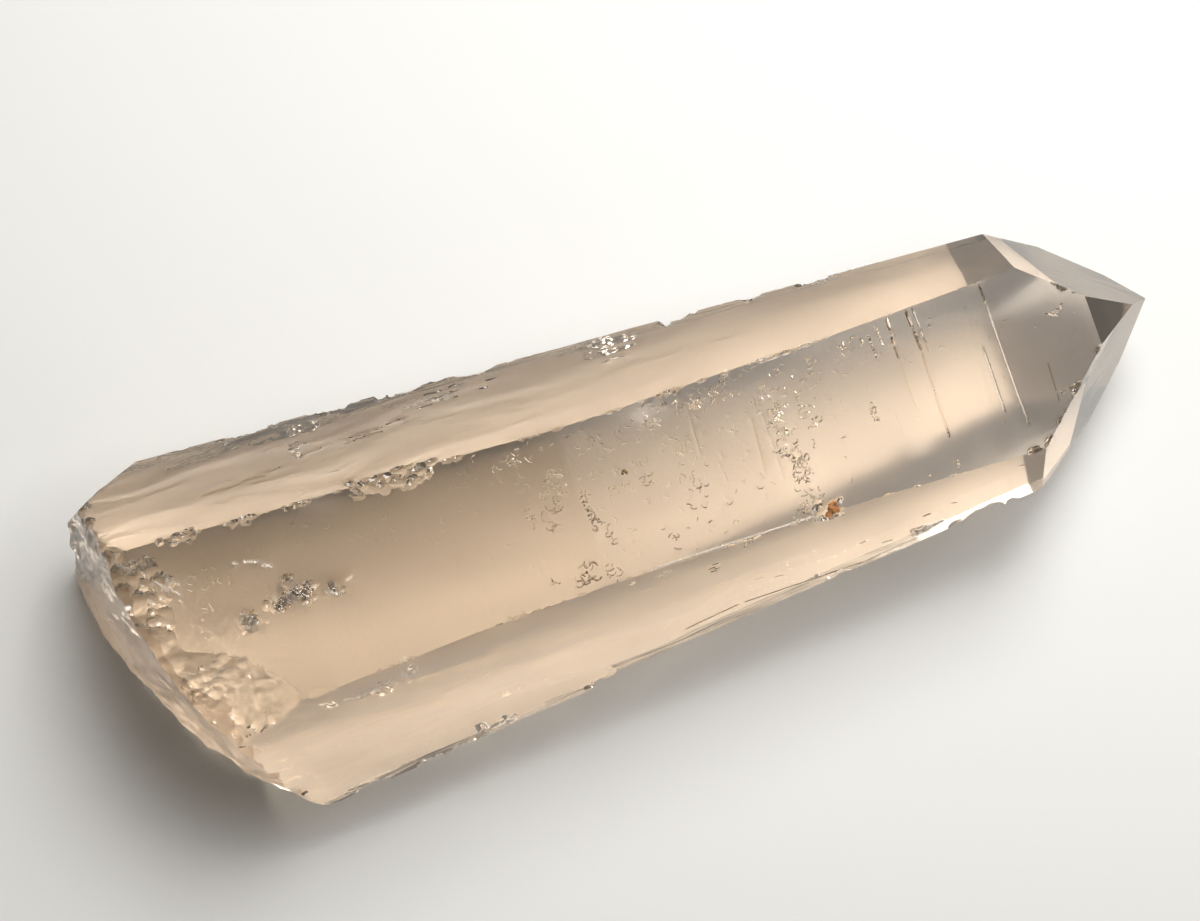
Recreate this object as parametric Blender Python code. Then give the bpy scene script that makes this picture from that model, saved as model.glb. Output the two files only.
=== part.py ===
"""Quartz crystal: one single crystal, a six-sided prism with a point at one end, broken off at the other.

It lies on one of its prism faces. It is described in the crystal's own frame, in millimetres: X runs along
the long axis towards the point, the apex is the origin, Z goes up through the widest clean prism face and
Y to the left of somebody who looks along X. The object's location and rotation then lay it on the floor.
"""

import random
from math import cos, pi, radians, sin, tan

import bmesh
import bpy
from mathutils import Matrix, Vector, noise

MM = 0.001

# How it lies: the rest face leans 5 degrees towards the point, so the long axis dips by as much.
REST_LEAN = 5.0
APEX_HEIGHT = 10.3
APEX = Vector((52.85, 0.81, APEX_HEIGHT)) * MM

# Quartz: neighbouring prism faces stand 60 degrees apart, and the normals of the faces at the point
# rise 38.2 degrees from the plane across the long axis.
STEP = 60.0
POINT_LEAN = 38.2

# Each face: azimuth about the long axis from Z towards Y, lean of its normal towards the point (degrees),
# and distance of its plane from the apex (mm). The leans of the prism faces are what tapers the crystal.
# The top face is three planes, because its growth lines step it down towards both ends.
FACES = {
    "top_base": (0, -2.3, 13.7),
    "top_mid": (0, 2.3, 9.1),
    "top_tip": (0, 5.2, 7.4),
    "left": (STEP, 2.2, 9.8),
    "right": (-STEP, -0.8, 12.8),
    "under_left": (2 * STEP, 6.1, 7.1),
    "under_right": (-2 * STEP, 8.6, 8.3),
    "rest": (3 * STEP, REST_LEAN, APEX_HEIGHT),
    "left_r": (STEP, POINT_LEAN, 0.0),
    "right_r": (-STEP, POINT_LEAN, 0.0),
    "under_r": (3 * STEP, POINT_LEAN, 0.0),
    "top_z": (0, POINT_LEAN, 1.6),
    "under_left_z": (2 * STEP, POINT_LEAN, 1.5),
    "under_right_z": (-2 * STEP, POINT_LEAN, 2.2),
}
TOP_FACES = ("top_base", "top_mid", "top_tip")
BLOCK = 240.0  # edge of the block that the faces are cut from

# A growth ledge: towards the point the under_right face lies deeper, on a plane of its own.
LEDGE_PLANE = (-2 * STEP, 7.35, 8.32)
LEDGE_AT = -58.4
LEDGE_SLOPE = 50.0  # how steeply the ledge rises from the deeper plane, in degrees
LEDGE_CUT = 6.0

# The broken base: a domed, leaning fracture of shallow bowls that meet in sharp ridges, coarse and fine.
# Its station is a quadratic of Y and Z, which the bowls are added to.
BREAK_AT = -99.2
BREAK_LEAN_Y = -0.30
BREAK_LEAN_Z = 0.228
BREAK_DOME_Y = 0.017
BREAK_DOME_Z = 0.002
BREAK_HALF_WIDTH = 24.0
BREAK_CELL = 1.0
BREAK_DEPTH = 25.0
BOWLS = ((9.0, 1.3), (3.4, 0.45))  # size and depth of the coarse and the fine bowls
BOWL_MEAN = 0.4

# The left corner of the base is worn round: beyond this Y the end falls back as a parabola.
ROUND_AT = -104.1
ROUND_FROM_Y = 10.6
ROUND_CURVE = 0.225
ROUND_LEAN_Z = 0.16

# Chips: the two faces whose edge they are on, station along X, radius of the scoop, how deep it bites,
# and how much it is stretched along the edge.
CHIPS = [
    ("top_base", "left", -73.3, 2.6, 0.75, 1.5),
    ("top_base", "left", -70.3, 2.2, 0.60, 1.3),
    ("top_base", "left", -85.4, 1.5, 0.28, 1.4),
    ("top_base", "left", -80.2, 1.2, 0.22, 1.5),
    ("top_mid", "left", -46.6, 1.0, 0.20, 1.4),
    ("top_mid", "left", -37.0, 0.9, 0.18, 1.4),
    ("top_mid", "right", -36.8, 1.3, 0.75, 1.0),
    ("top_base", "right", -66.0, 1.1, 0.20, 1.6),
    ("left", "under_left", -68.0, 2.4, 0.40, 1.6),
    ("left", "under_left", -61.2, 2.0, 0.45, 1.8),
    ("left", "under_left", -42.5, 1.8, 0.55, 1.2),
    ("left", "under_left", -35.2, 1.4, 0.30, 1.4),
    ("left", "under_left", -83.0, 2.6, 0.35, 1.8),
    ("right", "under_right", -59.4, 1.8, 0.60, 1.3),
    ("right", "under_right", -83.5, 2.0, 0.50, 1.4),
    ("right", "under_right", -74.2, 1.6, 0.25, 1.8),
    ("right", "under_right", -30.5, 1.6, 0.28, 1.8),
    ("under_right", "rest", -36.5, 1.6, 0.45, 1.2),
    ("under_right", "rest", -24.5, 2.2, 0.60, 1.5),
    ("under_right", "rest", -70.0, 2.0, 0.45, 1.5),
    ("under_left", "rest", -48.0, 2.4, 0.55, 1.7),
    ("under_left", "rest", -79.0, 2.0, 0.40, 1.5),
    ("top_tip", "left_r", -9.4, 0.9, 0.20, 1.2),
    ("top_tip", "right_r", -8.1, 0.9, 0.22, 1.0),
    ("top_tip", "right_r", -11.2, 1.1, 0.35, 1.0),
    ("top_tip", "right_r", -15.5, 0.9, 0.25, 1.0),
    ("under_right", "right_r", -16.2, 0.9, 0.20, 1.0),
]

# Scars where whole corners of the base broke away: centre of the scar, outward normal, radius, bite.
SCARS = [
    ((-91.4, -5.8, 8.7), (-0.35, -0.33, 0.87), 22.0, 0.8),
    ((-97.6, 10.6, 9.2), (-0.60, 0.25, 0.76), 8.0, 0.7),
    ((-90.0, -18.6, -8.5), (-0.55, -0.80, -0.15), 9.0, 0.5),
    ((-97.5, -10.5, -17.5), (-0.80, -0.45, -0.35), 9.0, 0.8),
]

# Growth lines across the faces: face, station, where the line starts and ends beside the middle of the
# face, and half width and depth of the groove.
GROWTH_LINES = [
    ("top_tip", -13.2, -6.0, -2.0, 0.16, 0.06),
    ("top_tip", -16.7, -7.0, 6.8, 0.24, 0.14),
    ("top_tip", -18.3, -5.2, 5.8, 0.22, 0.12),
    ("top_tip", -23.3, 2.2, 6.8, 0.16, 0.08),
    ("top_tip", -24.0, -5.5, 6.9, 0.26, 0.16),
    ("top_tip", -24.1, -8.9, -7.4, 0.22, 0.14),
    ("top_tip", -25.9, -2.7, 6.9, 0.22, 0.12),
    ("top_tip", -26.9, -8.6, -7.8, 0.18, 0.10),
    ("top_tip", -27.1, 4.3, 6.9, 0.18, 0.10),
    ("top_tip", -28.0, -4.0, 5.8, 0.26, 0.10),
    ("top_mid", -39.4, -4.0, 4.5, 0.22, 0.06),
    ("top_mid", -45.6, 0.5, 5.5, 0.20, 0.06),
    ("under_left", -30.0, -4.0, 4.0, 0.40, 0.12),
    ("under_left", -44.0, -5.0, 5.0, 0.34, 0.10),
    ("under_right", -40.0, -5.0, 5.0, 0.40, 0.12),
    ("under_right", -52.0, -5.0, 5.0, 0.34, 0.10),
]

# Etched pits on the top face: station, Y, spread of the cluster, number of pits.
PIT_CLUSTERS = [
    (-57.0, 1.8, 2.2, 8),
    (-58.9, -5.0, 1.6, 5),
    (-53.0, 1.8, 0.4, 2),
    (-37.9, 2.6, 2.0, 7),
    (-38.4, -4.6, 2.4, 9),
    (-43.0, 6.0, 2.2, 5),
]
PIT_RADIUS = (0.25, 0.50)
PIT_DEPTH = (0.10, 0.22)
PIT_SIDES = 5
PIT_SEED = 11

# How finely the balls that cut the chips and the scars are divided.
CHIP_DETAIL = 2
SCAR_DETAIL = 3

QUARTZ_COLOUR = (0.78, 0.64, 0.49, 1.0)
QUARTZ_IOR = 1.544
QUARTZ_ROUGHNESS = 0.08


def clear_scene():
    for obj in list(bpy.data.objects):
        bpy.data.objects.remove(obj)


def direction(azimuth, lean):
    """A unit vector at this azimuth about the long axis, leaning this much towards the point."""
    side, tip = radians(azimuth), radians(lean)
    return Vector((sin(tip), cos(tip) * sin(side), cos(tip) * cos(side)))


def normal_of(face):
    azimuth, lean, _ = FACES[face]
    return direction(azimuth, lean)


def across_and_along(normal):
    """The two directions in a plane: level across the crystal, and along it towards the point."""
    across = normal.cross(Vector((1.0, 0.0, 0.0))).normalized()
    return across, across.cross(normal).normalized()


def point_on(face_a, face_b, station):
    """The point at this station of the edge where two faces meet."""
    rows = Matrix((normal_of(face_a), normal_of(face_b), (1.0, 0.0, 0.0)))
    return rows.inverted() @ Vector((FACES[face_a][2], FACES[face_b][2], station))


def point_in_plane(plane, station, across):
    """The point of a plane at this station, this far to the side of the middle of the crystal."""
    azimuth, lean, distance = plane
    normal = direction(azimuth, lean)
    out = direction(azimuth, 0.0)
    side, _ = across_and_along(normal)
    reach = (distance - normal.x * station) / normal.dot(out)
    return Vector((station, 0.0, 0.0)) + out * reach + side * across


def point_on_top(station, across):
    """The point of the top at this place: on the lowest of the three planes that make it."""
    points = [point_in_plane(FACES[face], station, across) for face in TOP_FACES]
    return min(points, key=lambda point: point.z)


def new_object(name, bm, material=None):
    """Puts a mesh worked out in millimetres into the scene, in metres."""
    bmesh.ops.recalc_face_normals(bm, faces=bm.faces)
    bmesh.ops.scale(bm, vec=(MM, MM, MM), verts=bm.verts)
    mesh = bpy.data.meshes.new(name)
    bm.to_mesh(mesh)
    bm.free()
    if material:
        mesh.materials.append(material)
    obj = bpy.data.objects.new(name, mesh)
    bpy.context.scene.collection.objects.link(obj)
    return obj


def new_cutter(name, bm, crystal, group):
    cutter = new_object(name, bm)
    cutter.parent = crystal
    cutter.hide_render = True
    cutter.display_type = "WIRE"
    bpy.context.scene.collection.objects.unlink(cutter)
    group.objects.link(cutter)
    return cutter


def new_group(name):
    group = bpy.data.collections.new(name)
    bpy.context.scene.collection.children.link(group)
    return group


def quartz_material():
    material = bpy.data.materials.new("quartz")
    material.use_nodes = True
    shader = material.node_tree.nodes["Principled BSDF"]
    shader.inputs["Base Color"].default_value = QUARTZ_COLOUR
    shader.inputs["Roughness"].default_value = QUARTZ_ROUGHNESS
    shader.inputs["Metallic"].default_value = 0.0
    shader.inputs["Transmission Weight"].default_value = 1.0
    shader.inputs["IOR"].default_value = QUARTZ_IOR
    return material


def faceted_crystal(material):
    """A block cut by each face's plane in turn: the perfect crystal, as long as the block."""
    bm = bmesh.new()
    bmesh.ops.create_cube(bm, size=BLOCK)
    for face, (_, _, distance) in FACES.items():
        normal = normal_of(face)
        everything = bm.verts[:] + bm.edges[:] + bm.faces[:]
        cut = bmesh.ops.bisect_plane(
            bm, geom=everything, plane_co=normal * distance, plane_no=normal, clear_outer=True
        )
        rim = [item for item in cut["geom_cut"] if isinstance(item, bmesh.types.BMEdge)]
        bmesh.ops.contextual_create(bm, geom=rim)
    return new_object("quartz_crystal", bm, material)


def break_station(y, z):
    """Where the fracture at the base lies along X, at this place of the cross-section."""
    station = BREAK_AT + BREAK_LEAN_Y * y + BREAK_LEAN_Z * z + BREAK_DOME_Y * y * y + BREAK_DOME_Z * z * z
    for size, depth in BOWLS:
        to_middle = noise.voronoi(Vector((y, z, 0.0)) / size)[0][0]
        station += depth * (BOWL_MEAN - to_middle ** 2)
    rounded = ROUND_AT + ROUND_CURVE * max(0.0, y - ROUND_FROM_Y) ** 2 + ROUND_LEAN_Z * z
    return max(station, rounded)


def break_cutter(crystal, group):
    """Everything behind the fracture: a grid on the fracture, drawn back to a flat end."""
    bm = bmesh.new()
    count = round(2 * BREAK_HALF_WIDTH / BREAK_CELL)
    bmesh.ops.create_grid(bm, x_segments=count, y_segments=count, size=BREAK_HALF_WIDTH)
    for vert in bm.verts:
        y, z, _ = vert.co
        vert.co = (break_station(y, z), y, z)
    back = bmesh.ops.extrude_face_region(bm, geom=bm.faces[:])
    for item in back["geom"]:
        if isinstance(item, bmesh.types.BMVert):
            item.co.x = BREAK_AT - BREAK_DEPTH
    return new_cutter("break_cutter", bm, crystal, group)


def bar(profile, across, start, end):
    """A straight bar with this profile, from start to end beside the middle of the crystal."""
    bm = bmesh.new()
    ends = [[bm.verts.new(corner + across * side) for corner in profile] for side in (start, end)]
    bm.faces.new(ends[0])
    bm.faces.new(ends[1])
    for i, corner in enumerate(ends[0]):
        j = (i + 1) % len(profile)
        bm.faces.new((corner, ends[0][j], ends[1][j], ends[1][i]))
    return bm


def ledge_cutter(crystal, group):
    """What stands above the ledge's plane, from the ledge to past the point."""
    azimuth, lean, _ = LEDGE_PLANE
    normal = direction(azimuth, lean)
    across, along = across_and_along(normal)
    foot = point_in_plane(LEDGE_PLANE, LEDGE_AT, 0.0)
    top = foot + normal * LEDGE_CUT - along * LEDGE_CUT / tan(radians(LEDGE_SLOPE))
    far = foot + along * BLOCK
    bm = bar([foot, top, far + normal * LEDGE_CUT, far], across, -BREAK_HALF_WIDTH, BREAK_HALF_WIDTH)
    return new_cutter("ledge_cutter", bm, crystal, group)


def scoop(name, centre, outward, radius, bite, stretch, detail, crystal, group):
    """A ball that bites this deep into the crystal, as a conchoidal chip does, stretched along X."""
    bm = bmesh.new()
    bmesh.ops.create_icosphere(bm, subdivisions=detail, radius=radius)
    bmesh.ops.scale(bm, vec=(stretch, 1.0, 1.0), verts=bm.verts)
    bmesh.ops.translate(bm, verts=bm.verts, vec=centre + outward * (radius - bite))
    return new_cutter(name, bm, crystal, group)


def chip_cutters(crystal, group):
    for index, (face_a, face_b, station, radius, bite, stretch) in enumerate(CHIPS):
        centre = point_on(face_a, face_b, station)
        outward = (normal_of(face_a) + normal_of(face_b)).normalized()
        scoop(f"chip_{index}", centre, outward, radius, bite, stretch, CHIP_DETAIL, crystal, group)


def scar_cutters(crystal, group):
    for index, (centre, outward, radius, bite) in enumerate(SCARS):
        direction = Vector(outward).normalized()
        scoop(f"scar_{index}", Vector(centre), direction, radius, bite, 1.0, SCAR_DETAIL, crystal, group)


def growth_line_cutters(crystal, group):
    """V-shaped grooves across the prism faces."""
    for index, (face, station, start, end, width, depth) in enumerate(GROWTH_LINES):
        normal = normal_of(face)
        across, along = across_and_along(normal)
        middle = point_in_plane(FACES[face], station, 0.0)
        rim = normal * depth
        profile = [middle - along * width + rim, middle - rim, middle + along * width + rim]
        bm = bar(profile, across, start, end)
        new_cutter(f"growth_line_{index}", bm, crystal, group)


def pit_cutters(crystal, group):
    """Small five-sided hollows etched into the top face."""
    draw = random.Random(PIT_SEED)
    count = 0
    for station, middle_y, spread, number in PIT_CLUSTERS:
        for _ in range(number):
            x = station + draw.uniform(-spread, spread)
            y = middle_y + draw.uniform(-spread, spread)
            radius = draw.uniform(*PIT_RADIUS)
            depth = draw.uniform(*PIT_DEPTH)
            turn = Matrix.Rotation(draw.uniform(0.0, 2 * pi), 4, "Z")
            bm = bmesh.new()
            bmesh.ops.create_cone(
                bm, segments=PIT_SIDES, radius1=0.0, radius2=2 * radius, depth=2 * depth, cap_ends=True,
                matrix=turn,
            )
            bmesh.ops.translate(bm, verts=bm.verts, vec=point_on_top(x, y))
            new_cutter(f"pit_{count}", bm, crystal, group)
            count += 1


def cut_away(crystal, name, group):
    boolean = crystal.modifiers.new(name, "BOOLEAN")
    boolean.operation = "DIFFERENCE"
    boolean.solver = "EXACT"
    boolean.operand_type = "COLLECTION"
    boolean.collection = group


def main():
    clear_scene()
    crystal = faceted_crystal(quartz_material())
    crystal.location = APEX
    crystal.rotation_euler.y = radians(REST_LEAN)
    steps = (
        ("break", [break_cutter, ledge_cutter]),
        ("scars", [scar_cutters]),
        ("chips", [chip_cutters]),
        ("growth", [growth_line_cutters, pit_cutters]),
    )
    for name, makers in steps:
        group = new_group(name)
        for make in makers:
            make(crystal, group)
        cut_away(crystal, name, group)


main()
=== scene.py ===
"""The looks of the quartz crystal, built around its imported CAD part.

The crystal is worked out in its own frame, in millimetres: X runs along the long axis towards the point,
the apex is the origin, and Z goes up through the widest prism face. It is then laid on the floor, as in
the CAD part, and given the fine relief, the flaws inside and the clear, pale brown look of smoky quartz.
"""

import random
from math import ceil, cos, floor, hypot, pi, radians, sin

import bmesh
import bpy
import numpy as np
from mathutils import Matrix, Vector, geometry, kdtree, noise


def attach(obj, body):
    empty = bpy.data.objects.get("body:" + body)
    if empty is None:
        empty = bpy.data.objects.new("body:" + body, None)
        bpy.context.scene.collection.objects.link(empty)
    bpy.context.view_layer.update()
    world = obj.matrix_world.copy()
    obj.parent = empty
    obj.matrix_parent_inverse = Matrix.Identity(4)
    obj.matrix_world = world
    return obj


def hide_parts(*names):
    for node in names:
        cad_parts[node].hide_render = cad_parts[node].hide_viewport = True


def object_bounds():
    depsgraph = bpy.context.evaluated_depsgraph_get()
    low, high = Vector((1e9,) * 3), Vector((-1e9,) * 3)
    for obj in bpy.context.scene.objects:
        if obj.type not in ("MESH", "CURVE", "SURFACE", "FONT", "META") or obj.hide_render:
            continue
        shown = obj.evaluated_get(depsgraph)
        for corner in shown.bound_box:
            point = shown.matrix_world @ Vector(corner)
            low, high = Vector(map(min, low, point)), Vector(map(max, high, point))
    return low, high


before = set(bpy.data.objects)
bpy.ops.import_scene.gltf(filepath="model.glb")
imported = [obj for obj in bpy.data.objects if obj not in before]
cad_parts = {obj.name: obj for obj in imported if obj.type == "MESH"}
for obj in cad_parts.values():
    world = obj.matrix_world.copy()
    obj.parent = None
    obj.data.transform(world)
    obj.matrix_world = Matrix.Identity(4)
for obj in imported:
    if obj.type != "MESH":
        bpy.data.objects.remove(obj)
cad_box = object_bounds()

MM = 0.001
ALONG = Vector((1.0, 0.0, 0.0))  # the crystal's long axis

# ---------------- sizes that the CAD part has too
REST_LEAN = 5.0
APEX_HEIGHT = 10.3
APEX = Vector((52.85, 0.81, APEX_HEIGHT))
STEP = 60.0
POINT_LEAN = 38.2

# Each face: azimuth about the long axis from Z towards Y, lean of its normal towards the point (degrees),
# and distance of its plane from the apex (mm).
FACES = {
    "top_base": (0, -2.3, 13.7),
    "top_mid": (0, 2.3, 9.1),
    "top_tip": (0, 5.2, 7.4),
    "left": (STEP, 2.2, 9.8),
    "right": (-STEP, -0.8, 12.8),
    "under_left": (2 * STEP, 6.1, 7.1),
    "under_right": (-2 * STEP, 8.6, 8.3),
    "rest": (3 * STEP, REST_LEAN, APEX_HEIGHT),
    "left_r": (STEP, POINT_LEAN, 0.0),
    "right_r": (-STEP, POINT_LEAN, 0.0),
    "under_r": (3 * STEP, POINT_LEAN, 0.0),
    "top_z": (0, POINT_LEAN, 1.6),
    "under_left_z": (2 * STEP, POINT_LEAN, 1.5),
    "under_right_z": (-2 * STEP, POINT_LEAN, 2.2),
}
LEDGE_PLANE = (-2 * STEP, 7.35, 8.32)
LEDGE_AT = -58.4
LEDGE_SLOPE = 50.0
LEDGE_CUT = 6.0
BLOCK = 240.0

BREAK_AT = -99.2
BREAK_LEAN_Y = -0.30
BREAK_LEAN_Z = 0.228
BREAK_DOME_Y = 0.017
BREAK_DOME_Z = 0.002
BOWLS = ((9.0, 1.3), (3.4, 0.45))
BOWL_MEAN = 0.4
ROUND_AT = -104.1
ROUND_FROM_Y = 10.6
ROUND_CURVE = 0.225
ROUND_LEAN_Z = 0.16

# Chips: the two faces whose edge they are on, station along X, radius of the scoop, how deep it bites,
# and how much it is stretched along the edge.
CHIPS = [
    ("top_base", "left", -73.3, 2.6, 0.75, 1.5),
    ("top_base", "left", -70.3, 2.2, 0.60, 1.3),
    ("top_base", "left", -85.4, 1.5, 0.28, 1.4),
    ("top_base", "left", -80.2, 1.2, 0.22, 1.5),
    ("top_mid", "left", -46.6, 1.0, 0.20, 1.4),
    ("top_mid", "left", -37.0, 0.9, 0.18, 1.4),
    ("top_mid", "right", -36.8, 1.3, 0.75, 1.0),
    ("top_base", "right", -66.0, 1.1, 0.20, 1.6),
    ("left", "under_left", -68.0, 2.4, 0.40, 1.6),
    ("left", "under_left", -61.2, 2.0, 0.45, 1.8),
    ("left", "under_left", -42.5, 1.8, 0.55, 1.2),
    ("left", "under_left", -35.2, 1.4, 0.30, 1.4),
    ("left", "under_left", -83.0, 2.6, 0.35, 1.8),
    ("right", "under_right", -59.4, 1.8, 0.60, 1.3),
    ("right", "under_right", -83.5, 2.0, 0.50, 1.4),
    ("right", "under_right", -74.2, 1.6, 0.25, 1.8),
    ("right", "under_right", -30.5, 1.6, 0.28, 1.8),
    ("under_right", "rest", -36.5, 1.6, 0.45, 1.2),
    ("under_right", "rest", -24.5, 2.2, 0.60, 1.5),
    ("under_right", "rest", -70.0, 2.0, 0.45, 1.5),
    ("under_left", "rest", -48.0, 2.4, 0.55, 1.7),
    ("under_left", "rest", -79.0, 2.0, 0.40, 1.5),
    ("top_tip", "left_r", -9.4, 0.9, 0.20, 1.2),
    ("top_tip", "right_r", -8.1, 0.9, 0.22, 1.0),
    ("top_tip", "right_r", -11.2, 1.1, 0.35, 1.0),
    ("top_tip", "right_r", -15.5, 0.9, 0.25, 1.0),
    ("under_right", "right_r", -16.2, 0.9, 0.20, 1.0),
]

# Scars where whole corners of the base broke away: centre of the scar, outward normal, radius, bite.
SCARS = [
    ((-91.4, -5.8, 8.7), (-0.35, -0.33, 0.87), 22.0, 0.8),
    ((-97.6, 10.6, 9.2), (-0.60, 0.25, 0.76), 8.0, 0.7),
    ((-90.0, -18.6, -8.5), (-0.55, -0.80, -0.15), 9.0, 0.5),
    ((-97.5, -10.5, -17.5), (-0.80, -0.45, -0.35), 9.0, 0.8),
]

# ---------------- the mesh
LEDGE_SIDES = (-30.0, 30.0)  # from side to side of the block that cuts the ledge
FAR_END = -0.49 * BLOCK  # what lies beyond this along X is the block's end, which the break cuts off
SAME_TURN = 0.9999  # two normals whose dot product is above this are the same
SAME_PLANE = 0.01
MERGE_WITHIN = 0.001
FLAT_WITHIN = 0.3  # degrees between polygons of one face

# Spacing of the mesh in millimetres: on plain faces, on the edges and the break, in chips and at marks.
PLAIN_SPACING = 0.6
EDGE_SPACING = 0.35
BREAK_SPACING = 0.28
CHIP_SPACING = 0.14
MARK_SPACING = 0.13
SCAR_SPACING = 2.2 * CHIP_SPACING
AROUND_MARKS = 1.6 * MARK_SPACING
LEAST_SPACING = 0.08
GROWTH_LINE_STEP = 0.3
BREAK_LINE_STEP = 0.6 * BREAK_SPACING
EDGE_SAMPLE = 0.05  # steps at which the wanted spacing is looked up along an edge
SPACING_GROWTH = 0.42  # how fast the spacing widens away from a fine spot
MARK_GAP = 0.05  # least distance between two points of the marks
RIM_GAP = 0.10  # least distance between a mark's point and the face's edge
SPLIT_BELOW = 0.75  # a cell of the filling splits where the wanted spacing is below this share of its size
JITTER = 0.22  # how far a point of the filling may stray, as a share of its cell
CLEARANCE = 0.5  # least distance from it to the points that are kept, as the same share
FILLING_SEED = 3
LONGEST_MARK = 12  # points in the line of a mark that gets a finer mesh about it
BIG_SCAR = 7.0  # scars of more than this radius get the wider spacing
# The finer mesh about a bite, in shares of its half width: reach, spacing, and shifts along the edge.
BITE_REACH = 0.8
BITE_SPACING = 0.3
BITE_SHIFTS = (-0.6, 0.0, 0.6)
UNSHIFTED = 0.4  # this much of the bite's stretch doesn't count towards the shifts

BREAK_MIDDLE = (BREAK_AT, 0.0, -5.0)
BREAK_REACH = 22.0
BREAK_ROUNDS = 12  # rounds in which a line's meeting point with the break is narrowed down
PAST_BREAK = 40.0  # this far along X from the break, a place is sure to lie on one side of it
FINE_BOWLS = ((1.8, 0.34), (0.8, 0.13))  # the break's finer bowls, which the CAD part leaves out
ROUND_WAVE = 0.25
ROUND_WAVE_LENGTH = 2.5
ROUND_SEED = 3.0

# ---------------- the fine surface
# Growth lines: face, station and place across at the start and at the end, half width, depth.
GROWTH_LINES = [
    ("top_tip", -13.1, -2.0, -13.3, -6.0, 0.10, 0.05),
    ("top_tip", -16.75, 6.6, -16.7, 3.0, 0.13, 0.08),
    ("top_tip", -17.9, 4.8, -18.3, 2.2, 0.12, 0.04),
    ("top_tip", -18.5, 5.9, -19.6, -4.2, 0.16, 0.03),
    ("top_tip", -23.3, 6.8, -23.2, 2.2, 0.10, 0.08),
    ("top_tip", -23.95, 6.7, -23.8, 2.6, 0.18, 0.17),
    ("top_tip", -23.8, 2.6, -24.05, -5.5, 0.14, 0.07),
    ("top_tip", -24.1, -7.4, -24.2, -8.6, 0.16, 0.15),
    ("top_tip", -25.85, 6.7, -26.05, 2.6, 0.16, 0.15),
    ("top_tip", -26.05, 2.6, -26.0, -2.7, 0.14, 0.04),
    ("top_tip", -26.9, -7.6, -27.0, -8.4, 0.14, 0.13),
    ("top_tip", -27.1, 6.5, -27.05, 4.2, 0.14, 0.14),
    ("top_tip", -28.0, 5.8, -27.95, 3.2, 0.14, 0.07),
    ("top_tip", -28.0, -1.4, -28.05, -4.0, 0.12, 0.05),
    ("top_mid", -39.4, 4.4, -39.6, -4.0, 0.14, 0.03),
    ("top_mid", -40.5, 2.5, -41.0, -3.1, 0.12, 0.04),
    ("top_mid", -44.6, -0.2, -44.4, -2.5, 0.10, 0.04),
    ("top_mid", -45.6, 5.5, -45.9, 0.5, 0.12, 0.03),
    ("right", -51.5, -7.7, -45.9, -6.45, 0.11, 0.09),
    ("right", -45.6, -6.45, -33.6, -6.85, 0.11, 0.07),
    ("right", -33.3, -6.8, -28.2, -5.65, 0.11, 0.10),
    ("right", -62.8, 1.0, -63.4, -3.6, 0.16, 0.04),
    ("right", -67.6, 1.0, -68.6, -3.0, 0.16, 0.03),
    ("right", -69.8, 1.0, -70.6, -3.0, 0.16, 0.03),
    ("under_left", -30.0, -4.0, -30.2, 4.0, 0.14, 0.06),
    ("under_left", -44.0, -5.0, -43.9, 5.0, 0.14, 0.05),
    ("under_right", -40.0, -5.0, -40.1, 5.0, 0.14, 0.06),
    ("under_right", -28.0, -5.0, -27.9, 5.0, 0.14, 0.05),
]

# Scratches, told as the growth lines are: their floors are crushed and whitish, and that white is also a
# painted glint, standing in for the lamp glinting off the groove walls.
SCRATCHES_AND_GLINTS = [
    ("top_tip", -16.7, 4.6, -16.7, -7.0, 0.11, 0.08),
    ("top_tip", -18.3, 1.4, -18.4, -5.2, 0.12, 0.09),
    ("top_mid", -54.5, -7.14, -37.6, -7.80, 0.09, 0.05),
    ("top_mid", -49.5, 6.1, -49.0, 5.3, 0.12, 0.08),
    ("top_mid", -48.7, 5.3, -48.5, 4.9, 0.12, 0.08),
    ("top_base", -87.9, 5.9, -87.1, 5.5, 0.14, 0.08),
    ("top_base", -86.9, 5.7, -85.4, 5.1, 0.16, 0.08),
    ("top_base", -85.5, 4.9, -84.4, 4.3, 0.16, 0.08),
    ("top_base", -94.4, 6.9, -92.8, 4.6, 0.10, 0.05),
    ("top_base", -93.4, 6.7, -93.3, 5.6, 0.10, 0.05),
]
SCRATCH_WHITE_AND_GLINT = 0.75  # how much of the light a scratch's floor throws back: crushed quartz, and a painted glint as well
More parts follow.
